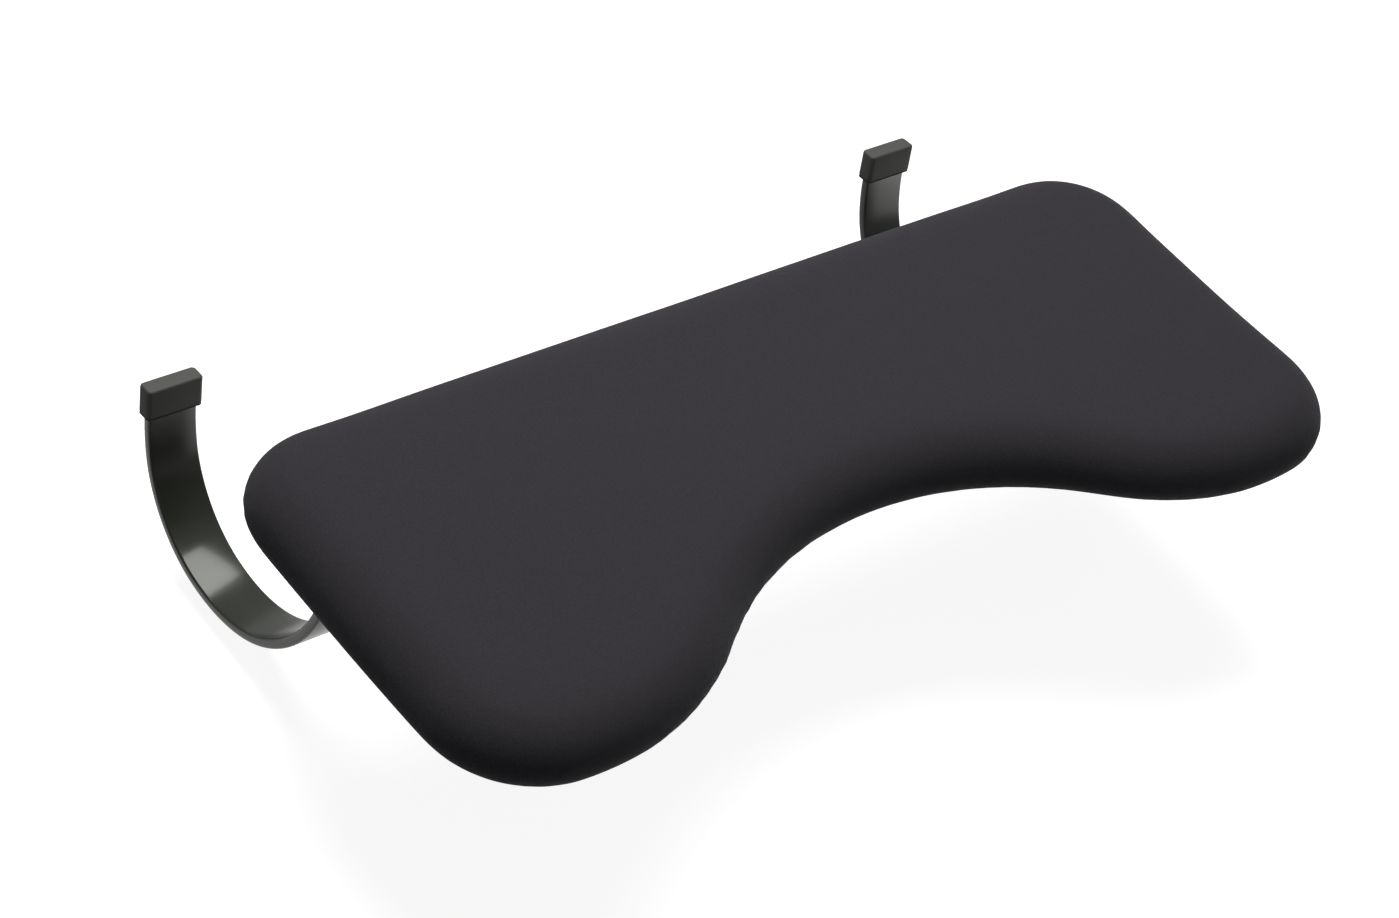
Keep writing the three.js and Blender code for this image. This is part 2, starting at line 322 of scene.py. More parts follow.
def copy_piece(piece, name, move):
    twin = piece.copy()
    twin.data = piece.data.copy()
    twin.name = twin.data.name = name
    twin.data.transform(Matrix.Translation(move))
    bpy.context.scene.collection.objects.link(twin)
    return twin


def cover_with(piece, material):
    piece.data.materials.clear()
    piece.data.materials.append(material)


def finish_piece(piece, material, slot, body, *nodes):
    """Gives a piece its material and its body, and hides the nodes that it stands for. The slot is not used."""
    cover_with(piece, material)
    if body:
        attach(piece, body)
    if nodes:
        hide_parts(*nodes)


def read_rows(items, key):
    flat = np.empty(len(items) * 3)
    items.foreach_get(key, flat)
    return flat.reshape(-1, 3)


def points_of(piece):
    return read_rows(piece.data.vertices, "co")


def normals_of(piece):
    return read_rows(piece.data.vertex_normals, "vector")


def set_points(piece, points):
    piece.data.vertices.foreach_set("co", points.ravel())
    piece.data.update()


# ---- materials


class Recipe:
    """A material's node tree, built one node at a time."""

    def __init__(self, name):
        self.material = bpy.data.materials.new(name)
        self.material.use_nodes = True
        self.tree = self.material.node_tree
        self.shader = self.tree.nodes["Principled BSDF"]

    def node(self, kind, inputs=(), **values):
        made = self.tree.nodes.new(kind)
        for key, value in values.items():
            setattr(made, key, value)
        for key, value in dict(inputs).items():
            self.put(made, key, value)
        return made

    def put(self, node, key, value):
        socket = node.inputs[key]
        if isinstance(value, bpy.types.NodeSocket):
            self.tree.links.new(value, socket)
        else:
            socket.default_value = value

    def shade(self, **values):
        for key, value in values.items():
            self.put(self.shader, key.replace("_", " "), value)

    def place(self):
        return self.node("ShaderNodeTexCoord").outputs["Object"]

    def stretch(self, where, scale):
        return self.node("ShaderNodeMapping", {"Vector": where, "Scale": scale}).outputs[0]

    def noise(self, where, scale, detail=2.0, roughness=0.5):
        made = self.node(
            "ShaderNodeTexNoise",
            {"Vector": where, "Scale": scale, "Detail": detail, "Roughness": roughness},
        )
        return made.outputs["Fac"]

    def math(self, kind, first, second=0.0, third=0.0):
        return self.node("ShaderNodeMath", {0: first, 1: second, 2: third}, operation=kind).outputs[0]

    def between(self, value, low, high):
        """Maps 0 to 1 onto low to high."""
        return self.math("MULTIPLY_ADD", value, high - low, low)

    def tint(self, base, value, dark, light):
        """The base colour made darker or lighter by a 0 to 1 pattern."""
        made = self.node("ShaderNodeMix", data_type="RGBA")
        colours = [socket for socket in made.inputs if socket.type == "RGBA"]
        self.tree.links.new(value, made.inputs[0])
        colours[0].default_value = (*[channel * dark for channel in base], 1)
        colours[1].default_value = (*[min(1, channel * light) for channel in base], 1)
        return next(socket for socket in made.outputs if socket.type == "RGBA")

    def bump(self, height, strength, distance, under=None):
        inputs = {"Height": height, "Strength": strength, "Distance": distance}
        if under is not None:
            inputs["Normal"] = under
        return self.node("ShaderNodeBump", inputs).outputs["Normal"]


LOOP_WIDTH = 0.62 * MM
LOOP_LENGTH = 0.48 * MM


def smooth_knit():
    """Matt black jersey over foam: tiny loops in rows, a soft nap and a faint cloudiness."""
    base = settings().finish.cloth
    cloth = Recipe("smooth_knit")
    unrolled = cloth.node("ShaderNodeUVMap", uv_map="cloth").outputs["UV"]
    split = cloth.node("ShaderNodeSeparateXYZ", {0: unrolled})
    wander = cloth.noise(unrolled, 260.0, 1.0)
    columns = cloth.math("MULTIPLY", split.outputs["X"], 2 * pi / LOOP_WIDTH)
    courses = cloth.math("MULTIPLY", split.outputs["Y"], 2 * pi / LOOP_LENGTH)
    across = cloth.math("MULTIPLY_ADD", wander, 0.9, columns)
    along = cloth.math("MULTIPLY_ADD", wander, 1.3, courses)
    rows = cloth.math("MULTIPLY", cloth.math("SINE", across), cloth.math("SINE", along))
    grain = cloth.noise(cloth.place(), 900.0, 4.0, 0.75)
    cloud = cloth.noise(cloth.place(), 24.0, 3.0, 0.55)
    height = cloth.math("MULTIPLY_ADD", rows, 0.25, grain)
    shade = cloth.math("MULTIPLY_ADD", cloud, 0.15, cloth.math("MULTIPLY", grain, 0.85))
    cloth.shade(
        Base_Color=cloth.tint(base, shade, 0.45, 1.6),
        Roughness=cloth.between(cloud, 0.78, 0.92),
        Normal=cloth.bump(height, 0.5, 0.0004),
        Specular_IOR_Level=0.14,
        Sheen_Weight=0.05,
        Sheen_Roughness=0.45,
    )
    cloth.shader.inputs["Sheen Tint"].default_value = (0.75, 0.72, 0.80, 1)
    return cloth.material


def bar_paint():
    """Gloss black stove enamel with a little orange peel and a dulled film here and there."""
    paint = Recipe("bar_paint")
    where = paint.place()
    peel = paint.noise(where, 330.0, 2.0)
    film = paint.noise(where, 38.0, 4.0, 0.6)
    dust = paint.noise(where, 2600.0, 1.0)
    paint.shade(
        Base_Color=paint.tint(settings().finish.paint, film, 0.85, 1.2),
        Roughness=paint.between(film, 0.13, 0.24),
        Normal=paint.bump(dust, 0.06, 0.00005, paint.bump(peel, 0.10, 0.00012)),
        Specular_IOR_Level=0.31,
        Specular_Tint=(0.97, 1.0, 0.94, 1),
        Coat_Weight=0.1,
        Coat_Roughness=0.08,
        Coat_Tint=(0.95, 1.0, 0.9, 1),
    )
    return paint.material


def cap_plastic():
    """Soft black polyethylene with a fine spark-eroded grain, a little scuffed."""
    plastic = Recipe("cap_plastic")
    where = plastic.place()
    grain = plastic.noise(where, 2100.0, 3.0, 0.6)
    scuff = plastic.noise(where, 160.0, 5.0, 0.65)
    plastic.shade(
        Base_Color=plastic.tint(settings().finish.cap, scuff, 0.88, 1.16),
        Roughness=plastic.between(scuff, 0.55, 0.72),
        Normal=plastic.bump(grain, 0.30, 0.00012),
        Specular_IOR_Level=0.3,
    )
    return plastic.material


def liner_cloth():
    """Black spunbond with its pattern of bonded dots."""
    liner = Recipe("liner_cloth")
    where = liner.place()
    dots = liner.node(
        "ShaderNodeTexVoronoi", {"Vector": where, "Scale": 620.0, "Randomness": 0.25}, feature="F1"
    ).outputs["Distance"]
    fibres = liner.noise(where, 1700.0, 4.0, 0.7)
    height = liner.math("MULTIPLY_ADD", fibres, 0.5, dots)
    liner.shade(
        Base_Color=liner.tint(settings().finish.liner, fibres, 0.6, 1.6),
        Roughness=liner.between(dots, 0.6, 0.9),
        Normal=liner.bump(height, 0.5, 0.0002),
        Specular_IOR_Level=0.3,
    )
    return liner.material


def zinc_plate():
    """Bright zinc on steel, with a faint blue-grey bloom."""
    zinc = Recipe("zinc_plate")
    where = zinc.place()
    bloom = zinc.noise(where, 300.0, 4.0, 0.6)
    lines = zinc.noise(where, 1800.0, 2.0)
    zinc.shade(
        Base_Color=zinc.tint(settings().finish.zinc, bloom, 0.82, 1.08),
        Metallic=1.0,
        Roughness=zinc.between(bloom, 0.22, 0.42),
        Normal=zinc.bump(lines, 0.08, 0.00006),
    )
    return zinc.material


def birch_ply():
    """Plywood: seven veneers whose grain crosses, seen as stripes on the edge."""
    base = settings().finish.ply
    ply = Recipe("birch_ply")
    where = ply.place()
    stripes = ply.noise(ply.stretch(where, (6.0, 60.0, 780.0)), 1.0, 2.0)
    figure = ply.noise(ply.stretch(where, (9.0, 160.0, 9.0)), 1.0, 5.0)
    shade = ply.math("MULTIPLY_ADD", figure, 0.5, ply.math("MULTIPLY", stripes, 0.5))
    ply.shade(
        Base_Color=ply.tint(base, shade, 0.6, 1.3),
        Roughness=ply.between(figure, 0.6, 0.8),
        Normal=ply.bump(figure, 0.25, 0.0002),
    )
    return ply.material


# ---- pad outline


def outline_arcs():
    """The arcs of the outline's right half, from the rear edge to the middle of the recess."""
    pad = settings().pad
    turns = (
        (0.0, pad.rear_radius, -pad.rear_turn),
        (pad.side_run, pad.lobe_radius, -pad.lobe_turn),
        (0.0, pad.front_radius, -pad.front_turn),
    )
    closing = sum(turn for _, _, turn in turns) + pi
    x = heading = 0.0
    y = PAD_HIGH.y
    arcs = []
    for run, radius, turn in (*turns, (0.0, pad.recess_radius, -closing)):
        side = 1 if turn > 0 else -1
        x += run * cos(heading)
        y += run * sin(heading)
        first = heading - side * pi / 2
        centre = (x - radius * cos(first), y - radius * sin(first))
        arcs.append((centre, radius, first, turn, side))
        heading += turn
        x, y = on_circle(centre, radius, first + turn)
    return [((centre[0] - x, centre[1]), *rest) for centre, *rest in arcs]


def on_circle(centre, radius, bearing):
    return centre[0] + radius * cos(bearing), centre[1] + radius * sin(bearing)


def outline_points(inset, spacing):
    """Places and headings along the right half of the outline, drawn in by an inset and evenly spaced."""
    track = [(0.0, PAD_HIGH.y - inset, 0.0)]
    for centre, radius, first, turn, side in outline_arcs():
        reach = radius + side * inset
        start = on_circle(centre, reach, first)
        gap = hypot(start[0] - track[-1][0], start[1] - track[-1][1])
        runs = max(1, round(gap / (spacing / 8)))
        last = track[-1]
        for i in range(1, runs + 1):
            share = i / runs
            track.append((
                last[0] + share * (start[0] - last[0]),
                last[1] + share * (start[1] - last[1]),
                first + side * pi / 2,
            ))
        steps = max(4, round(abs(turn) * reach / (spacing / 8)))
        for i in range(1, steps + 1):
            now = first + turn * i / steps
            track.append((*on_circle(centre, reach, now), now + side * pi / 2))
    places = []
    walked = 0.0
    next_at = spacing / 2
    for before, after in zip(track, track[1:]):
        walked += hypot(after[0] - before[0], after[1] - before[1])
        if walked >= next_at:
            places.append(after)
            next_at += spacing
    return places


def draw_outline(name, inset, height):
    """A flat face in the pad's outline, drawn in by an inset, at a height."""
    deselect()
    bpy.ops.mesh.primitive_plane_add(size=0.01, location=(0, 0, 0))
    piece = name_piece(name)
    edit(piece)
    pick_all()
    bpy.ops.mesh.merge(type="CENTER")
    at = Vector((0, PAD_HIGH.y - inset, height))
    bpy.ops.transform.translate(value=at)
    for centre, radius, first, turn, side in outline_arcs():
        reach = radius + side * inset
        start = Vector((*on_circle(centre, reach, first), height))
        if (start - at).length > SAME_POINT:
            extrude(start - at)
        steps = max(6, round(abs(turn) / radians(5)))
        bpy.ops.mesh.spin(steps=steps, angle=-turn, center=(*centre, height), axis=(0, 0, 1))
        at = Vector((*on_circle(centre, reach, first + turn), height))
    end_edit()
    points = points_of(piece)
    points[np.abs(points[:, 0]) < CLOSE, 0] = 0
    set_points(piece, points)
    modify(piece, "MIRROR", merge_threshold=CLOSE)
    edit(piece)
    pick_all()
    bpy.ops.mesh.remove_doubles(threshold=SAME_POINT)
    bpy.ops.mesh.edge_face_add()
    return piece


def round_over(height, inset, steps):
    """Insets the selected face in steps that follow a quarter ellipse."""
    for i in range(steps):
        low = pi / 2 * i / steps
        high = pi / 2 * (i + 1) / steps
        bpy.ops.mesh.inset(
            thickness=inset * (cos(low) - cos(high)),
            depth=height * (sin(high) - sin(low)),
            use_even_offset=True,
        )


# ---- pad

BELT_BAND = 0.6 * MM  # upright band between the two rounded edges
TOP_STEPS = 9
BOTTOM_STEPS = 8
FILL_FRAMES = 20  # frames that the cloth needs to settle
FLAT_UNDERSIDE = -0.985  # normals below this belong to the part that lies on the board
EVENING_ROUNDS = 60
KNIT = {
    "quality": 5,
    "mass": 0.25,
    "tension_stiffness": 12,
    "compression_stiffness": 12,
    "shear_stiffness": 6,
    "bending_stiffness": 1.5,
    "use_pressure": True,
}


def inflate(piece, pad):
    """Lets the foam press the cover out, and keeps each point near where it started."""
    start = points_of(piece)
    held = piece.vertex_groups.new(name="on_board")
    flat = normals_of(piece)[:, 2] < FLAT_UNDERSIDE
    held.add([int(i) for i in np.flatnonzero(flat)], 1.0, "REPLACE")
    make_active(piece)
    bpy.ops.object.modifier_add(type="CLOTH")
    cloth = piece.modifiers[-1]
    for key, value in KNIT.items():
        setattr(cloth.settings, key, value)
    cloth.settings.uniform_pressure_force = pad.pressure
    cloth.settings.effector_weights.gravity = 0
    cloth.settings.vertex_group_mass = held.name
    cloth.point_cache.frame_start = 1
    cloth.point_cache.frame_end = FILL_FRAMES
    for number in range(1, FILL_FRAMES + 1):
        bpy.context.scene.frame_set(number)
    bpy.ops.object.modifier_apply(modifier=cloth.name)
    bpy.context.scene.frame_set(1)
    moved = points_of(piece) - start
    far = np.linalg.norm(moved, axis=1)
    share = np.minimum(1.0, pad.swell / np.maximum(far, 1e-9))
    set_points(piece, start + even_out(piece, moved * share[:, None], EVENING_ROUNDS))
    piece.vertex_groups.clear()


def even_out(piece, values, rounds):
    """Averages each point's value with its neighbours' a number of times."""
    ends = np.empty(len(piece.data.edges) * 2, dtype=np.int64)
    piece.data.edges.foreach_get("vertices", ends)
    ends = ends.reshape(-1, 2)
    count = np.bincount(ends.ravel(), minlength=len(values))[:, None]
    for _ in range(rounds):
        total = np.zeros_like(values)
        np.add.at(total, ends[:, 0], values[ends[:, 1]])
        np.add.at(total, ends[:, 1], values[ends[:, 0]])
        values = 0.5 * values + 0.5 * total / count
    return values


def gather_corners(piece, pad):
    """Small pleats where the cover is drawn under the pad's convex corners."""
    points, normals = points_of(piece), normals_of(piece)
    under = np.clip((-normals[:, 2] - 0.35) / 0.5, 0, 1)
    lift = np.zeros(len(points))
    for mirror in (1, -1):
        for centre, radius, first, turn, side in outline_arcs()[:3]:
            away = points[:, :2] * (mirror, 1) - centre
            bearing = np.arctan2(away[:, 1], away[:, 0])
            share = ((bearing - first) * np.sign(turn)) % (2 * pi) / abs(turn)
            inside = np.clip(np.minimum(share, 1 - share) * 5, 0, 1) * (share < 1)
            reach = np.hypot(away[:, 0], away[:, 1]) / radius
            near = np.clip((reach - 0.2) * 3, 0, 1)
            count = abs(turn) * radius / pad.pleat_pitch
            wave = 0.5 + 0.5 * np.sin(2 * pi * count * share + 1.3 * np.sin(7 * share))
            lift = np.maximum(lift, inside * near * wave ** 3)
    points[:, 2] -= pad.pleat * lift * under * 0.6
    points -= normals * (pad.pleat * 0.4 * lift * under)[:, None]
    points[:, 2] = np.maximum(points[:, 2], PAD_LOW.z - 0.3 * MM)
    set_points(piece, points)


def unroll(piece):
    """A UV map in metres that runs over the top and down the sides without stretching."""
    points, normals = points_of(piece), normals_of(piece)
    level = normals[:, :2] / np.maximum(np.linalg.norm(normals[:, :2], axis=1), 1e-6)[:, None]
    steep = 1 - np.clip(np.abs(normals[:, 2]), 0, 1)
    drop = (PAD_HIGH.z - points[:, 2]) * np.minimum(1, steep * 2)
    flat = points[:, :2] + level * drop[:, None]
    layer = piece.data.uv_layers.new(name="cloth")
    corners = np.empty(len(piece.data.loops), dtype=np.int32)
    piece.data.loops.foreach_get("vertex_index", corners)
    layer.data.foreach_set("uv", flat[corners].ravel())


class SUPPORT_OT_cover(bpy.types.Operator):
    """Make the upholstered pad: draw the outline, round it over, inflate it and gather its corners"""

    bl_idname = "support.cover"
    bl_label = "Upholstered pad"

    def execute(self, context):
        pad = settings().pad
        belt = PAD_LOW.z + pad.belt_height
        piece = draw_outline("padded_cover", pad.slack, belt - BELT_BAND / 2)
        extrude((0, 0, BELT_BAND))
        tidy_normals()
        pick(piece, "faces", lambda face: face.normal.z > 0.9)
        round_over(PAD_HIGH.z - belt - pad.settle, pad.top_inset, TOP_STEPS)
        pick(piece, "faces", lambda face: face.normal.z < -0.9)
        round_over(pad.belt_height - BELT_BAND, pad.bottom_inset, BOTTOM_STEPS)
        end_edit()
        piece.data.remesh_voxel_size = pad.voxel
        make_active(piece)
        bpy.ops.object.voxel_remesh()
        inflate(piece, pad)
        modify(piece, "CORRECTIVE_SMOOTH", iterations=5, use_only_smooth=True)
        subdivide(piece, 1)
        gather_corners(piece, pad)
        unroll(piece)
        smooth(piece, 80)
        finish_piece(piece, smooth_knit(), "cover_cloth", PAD_BODY, "cover", "foam_pad")
        return {"FINISHED"}


# ---- liner and staples

SAG_WAVES = (46, 61)  # radians per metre, across and along
SEARCH_STEP = 3 * MM  # spacing of the points that the liner's rim is measured from


def near_foot(x, y, margin):
    return abs(abs(x) - HOOK_X) < margin and FOOT_LOW.y - margin < y < FOOT_HIGH.y + margin


class SUPPORT_OT_liner(bpy.types.Operator):
    """Make the liner under the board, with its turned edge and a little slack between the staples"""

    bl_idname = "support.liner"
    bl_label = "Bottom liner"

    def execute(self, context):
        liner = settings().liner
        piece = draw_outline("liner_sheet", liner.inset, 0.0)
        area = sum(face.calc_area() for face in bmesh.from_edit_mesh(piece.data).faces)
        bpy.ops.mesh.inset(thickness=liner.fold)
        bpy.ops.mesh.inset(thickness=liner.fold_step)
        for axis, normal in ((0, Vector((1, 0, 0))), (1, Vector((0, 1, 0)))):
            low, high = PAD_LOW[axis], PAD_HIGH[axis]
            count = int((high - low) / liner.grid)
            for i in range(1, count):
                pick_all()
                at = low + (high - low) * i / count
                bpy.ops.mesh.bisect(plane_co=normal * at, plane_no=normal)
        pick_all()
        bpy.ops.mesh.normals_make_consistent(inside=False)
        mesh = bmesh.from_edit_mesh(piece.data)
        if sum(face.normal.z for face in mesh.faces) < 0:
            bpy.ops.mesh.flip_normals()
        end_edit()
        points = points_of(piece)
        rim = np.min([
            np.linalg.norm(points[:, :2] - (sign * x, y), axis=1)
            for x, y, _ in outline_points(liner.inset, SEARCH_STEP)
            for sign in (1, -1)
        ], axis=0)
        folded = np.clip((liner.fold + liner.fold_step / 2 - rim) / liner.fold_step, 0, 1)
        over_foot = np.abs(np.abs(points[:, 0]) - HOOK_X) < liner.foot_room
        over_foot &= points[:, 1] < FOOT_HIGH.y
        wave_x, wave_y = SAG_WAVES
        slack = liner.sag * np.sin(points[:, 0] * wave_x) * np.sin(points[:, 1] * wave_y + 1)
        drop = folded * liner.fold_height + slack * (1 - folded)
        points[:, 2] = liner.lift - np.where(over_foot, 0, drop)
        set_points(piece, points)
        modify(piece, "SOLIDIFY", thickness=liner.thickness, offset=1.0)
        smooth(piece, 40)
        finish_piece(piece, liner_cloth(), "liner_cloth", PAD_BODY, "bottom_liner")
        width = 2 * max(x for x, _, _ in outline_points(liner.inset, SEARCH_STEP))
        return {"FINISHED"}


class SUPPORT_OT_staples(bpy.types.Operator):
    """Make the staples along the liner's turned edge"""

    bl_idname = "support.staples"
    bl_label = "Staples"

    def execute(self, context):
        liner = settings().liner
        deselect()
        bpy.ops.mesh.primitive_cube_add(size=1)
        first = name_piece("liner_staples")
        first.scale = (liner.staple_width, liner.staple_wire * 1.6, liner.staple_wire)
        apply_place(first)
        edit(first)
        pick(first, "faces", lambda face: abs(face.normal.x) > 0.9)
        bpy.ops.mesh.inset(thickness=liner.staple_wire * 0.1)
        crown_end = liner.staple_width * 0.49
        for sign in (1, -1):
            pick(first, "faces", lambda face: (
                face.normal.x * sign > 0.9 and abs(face.calc_center_median().x) > crown_end
            ))
            extrude((0.5 * MM * sign, 0, 0.8 * MM))
        pick(first, "edges", lambda e: climb(e) < SAME_POINT)
        bpy.ops.mesh.bevel(offset=liner.staple_wire * 0.22, segments=2)
        tidy_normals()
        end_edit()
        half = outline_points(liner.inset + liner.fold / 2, liner.staple_pitch)
        staples = [first]
        for sign in (1, -1):
            for i, (x, y, heading) in enumerate(half):
                if near_foot(x, y, liner.staple_room):
                    continue
                tilt = radians(7) * sin(5 * i + sign)
                turn = Matrix.Rotation(sign * heading + tilt, 4, "Z")
                twin = copy_piece(first, f"staple_{sign}_{i}", (0, 0, 0))
                twin.data.transform(Matrix.Translation((sign * x, y, -liner.staple_drop)) @ turn)
                staples.append(twin)
        rear = PAD_HIGH.y - liner.inset - liner.fold / 2
        first.data.transform(Matrix.Translation((0, rear, -liner.staple_drop)))
        deselect()
        for staple in staples:
            staple.select_set(True)
        bpy.context.view_layer.objects.active = first
        bpy.ops.object.join()
        smooth(first, 35)
        finish_piece(first, zinc_plate(), "zinc_steel", PAD_BODY)
        return {"FINISHED"}


# ---- hook bars

FOOT_STEPS = (0.02, 0.48, 0.5)  # the foot's rings of points, as shares of its length


def bar_route():
    """The bar's arcs from the foot to the tip: centre, turn, and the place and heading at the end."""
    bar = settings().bar
    y = FOOT_HIGH.y - bar.bend_radius - bar.thickness / 2
    z = FOOT_HIGH.z - bar.thickness / 2
    heading = 0.0
    steps = []
    for radius, turn in (
        (bar.bend_radius, -bar.bend_turn),
        (bar.front_radius, bar.front_turn),
        (bar.floor_radius, bar.floor_turn),
        (bar.rise_radius, bar.rise_turn),
        (bar.tip_radius, bar.tip_turn),
    ):
        side = 1 if turn > 0 else -1
        centre = (y - side * radius * sin(heading), z + side * radius * cos(heading))
        heading += turn
        y = centre[0] + side * radius * sin(heading)
        z = centre[1] - side * radius * cos(heading)
        steps.append((centre, turn, (y, z), heading))
    return steps


class SUPPORT_OT_hook_bars(bpy.types.Operator):
    """Make both hook bars: a rounded section drawn out along the foot and spun round each bend"""

    bl_idname = "support.hook_bars"
    bl_label = "Hook bars"

    def execute(self, context):
        bar = settings().bar
        foot_end = (-HOOK_X, FOOT_LOW.y, FOOT_HIGH.z - bar.thickness / 2)
        route = bar_route()
        deselect()
        bpy.ops.mesh.primitive_plane_add(size=1, location=foot_end, rotation=(pi / 2, 0, 0))
        piece = name_piece("left_hook_bar")
        piece.scale = (FOOT_HIGH.x - FOOT_LOW.x, bar.thickness, 1)
        apply_place(piece)
        edit(piece)
        pick_all()
        bpy.ops.mesh.bevel(offset=bar.edge, offset_type="OFFSET", segments=4, affect="VERTICES")
        pick_all()
        run = route[0][0][0] - FOOT_LOW.y
        for share in FOOT_STEPS:
            extrude((0, run * share, 0))
        for (centre_y, centre_z), turn, _, _ in route:
            steps = max(8, round(abs(turn) / radians(3)))
            bpy.ops.mesh.spin(steps=steps, angle=-turn, center=(0, centre_y, centre_z), axis=(1, 0, 0))
        _, _, _, heading = route[-1]
        extrude((0, bar.tip_run * cos(heading), bar.tip_run * sin(heading)))
        tidy_normals()
        end_edit()
        smooth(piece, 40)
        twin = copy_piece(piece, "right_hook_bar", (2 * HOOK_X, 0, 0))
        for side, made, x in (("left", piece, -HOOK_X), ("right", twin, HOOK_X)):
            nodes = (f"{side}_strap_foot", f"{side}_hook_arm")
            finish_piece(made, bar_paint(), "painted_bar", None, *nodes)
            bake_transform(made)
        return {"FINISHED"}


# ---- end caps


class SUPPORT_OT_end_caps(bpy.types.Operator):
    """Make both end caps: a rounded block with a rim round its mouth and a pocket for the bar"""

    bl_idname = "support.end_caps"
    bl_label = "End caps"

    def execute(self, context):
        cap, bar = settings().cap, settings().bar
        _, _, (base_y, base_z), heading = bar_route()[-1]
        deselect()
        bpy.ops.mesh.primitive_cube_add(size=1, location=(0, 0, cap.height / 2))
        piece = name_piece("left_cap_moulding")
        piece.scale = (cap.width - 2 * cap.rim_stand, cap.depth - 2 * cap.rim_stand, cap.height)
        apply_place(piece)
        edit(piece)
        pick(piece, "edges", lambda e: climb(e) > cap.height / 2)
        bpy.ops.mesh.bevel(offset=cap.corner, segments=6, affect="EDGES")
        pick(piece, "edges", lambda e: (
            all(v.co.z > cap.height - CLOSE for v in e.verts)
            and any(abs(face.normal.z) < 0.5 for face in e.link_faces)
        ))
        bpy.ops.mesh.bevel(offset=cap.top_edge, segments=5, affect="EDGES")
        pick_all()
        bpy.ops.mesh.bisect(plane_co=(0, 0, cap.rim), plane_no=(0, 0, 1))
        pick(piece, "faces", lambda face: (
            abs(face.normal.z) < 0.5 and face.calc_center_median().z < cap.rim
        ))
        bpy.ops.mesh.extrude_region_shrink_fatten(TRANSFORM_OT_shrink_fatten={"value": -cap.rim_stand})
        mouth_area = 0.3 * cap.width * cap.depth
        pick(piece, "faces", lambda face: (
            face.normal.z < -0.5 and face.calc_center_median().z < CLOSE and face.calc_area() > mouth_area
        ))
        bpy.ops.mesh.inset(thickness=cap.wall - cap.rim_stand)
        extrude((0, 0, bar.tip_run + cap.pocket_gap))
        tidy_normals()
        end_edit()
        piece.rotation_euler.x = heading - pi / 2
        piece.location = (-HOOK_X, base_y, base_z)
        apply_place(piece)
        smooth(piece, 32)
        twin = copy_piece(piece, "right_cap_moulding", (2 * HOOK_X, 0, 0))
        for side, made in (("left", piece), ("right", twin)):
            finish_piece(made, cap_plastic(), "cap_plastic", f"{side}_hook", f"{side}_end_cap")
        return {"FINISHED"}


# ---- fasteners


class SUPPORT_OT_fasteners(bpy.types.Operator):
    """Make the button-head screws and washers under the feet of the bars"""

    bl_idname = "support.fasteners"
    bl_label = "Screws and washers"

    def make_screw(self, low, high):
        fastener = settings().fastener
        centre = (low + high) / 2
        radius = (high.x - low.x) / 2
        head = fastener.head_height
        deselect()
        bpy.ops.mesh.primitive_cylinder_add(
            vertices=48, radius=radius, depth=head, location=(centre.x, centre.y, low.z + head / 2)
        )
        screw = name_piece("left_rear_button_screw")
        apply_place(screw)
        edit(screw)
        pick(screw, "faces", lambda face: face.normal.z > 0.9)
        bpy.ops.mesh.inset(thickness=radius - fastener.shank_radius)
        extrude((0, 0, high.z - low.z - head))
        pick(screw, "edges", lambda e: all(v.co.z < low.z + CLOSE for v in e.verts))
        bpy.ops.mesh.bevel(offset=head - fastener.head_rim, segments=8, affect="EDGES")
        tidy_normals()
        end_edit()
        bpy.ops.mesh.primitive_cylinder_add(
            vertices=6,
            radius=fastener.socket / 2 / cos(pi / 6),
            depth=2 * fastener.socket_depth,
            location=(centre.x, centre.y, low.z),
        )
        socket = name_piece("socket_cutter")
        apply_place(socket)
        modify(screw, "BOOLEAN", operation="DIFFERENCE", object=socket, solver="EXACT")
        bpy.data.objects.remove(socket)
        smooth(screw, 30)
        return screw

    def make_washer(self, low, high):
        fastener = settings().fastener
        centre = (low + high) / 2
        radius = (high.x - low.x) / 2
        deselect()
        bpy.ops.mesh.primitive_cylinder_add(vertices=48, radius=radius, depth=high.z - low.z, location=centre)
        washer = name_piece("left_rear_flat_washer")
        apply_place(washer)
        edit(washer)
        pick(washer, "faces", lambda face: abs(face.normal.z) > 0.9)
        bpy.ops.mesh.inset(thickness=radius - fastener.hole_radius)
        bpy.ops.mesh.bridge_edge_loops()
        pick(washer, "edges", lambda e: (
            climb(e) < SAME_POINT
            and all((v.co.xy - centre.xy).length > radius - CLOSE for v in e.verts)
        ))
        bpy.ops.mesh.bevel(offset=fastener.washer_edge, segments=2, affect="EDGES")
        tidy_normals()
        end_edit()
        smooth(washer, 35)
        return washer

    def execute(self, context):
        zinc = zinc_plate()
        first_low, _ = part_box("left_rear_screw")
        patterns = (
            (self.make_screw(*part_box("left_rear_screw")), "button_screw", "screw"),
            (self.make_washer(*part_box("left_rear_washer")), "flat_washer", "washer"),
        )
        for side in SIDES:
            for place in PLACES:
                low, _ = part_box(f"{side}_{place}_screw")
                move = low - first_low
                for pattern, kind, node in patterns:
                    name = f"{side}_{place}_{kind}"
                    made = pattern if name == pattern.name else copy_piece(pattern, name, move)
                    finish_piece(made, zinc, "zinc_steel", PAD_BODY, f"{side}_{place}_{node}")
        return {"FINISHED"}


class SUPPORT_OT_inner_parts(bpy.types.Operator):
    """Give the base board and the T-nuts their plywood and zinc"""

    bl_idname = "support.inner_parts"
    bl_label = "Board and T-nuts"

    def execute(self, context):
        zinc = zinc_plate()
        cover_with(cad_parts["base_board"], birch_ply())
        for side in SIDES:
            for place in PLACES:
                cover_with(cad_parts[f"{side}_{place}_tnut"], zinc)
        return {"FINISHED"}


# ---- stage


def aim(thing, target):
    thing.rotation_euler = (target - thing.location).to_track_quat("-Z", "Y").to_euler()


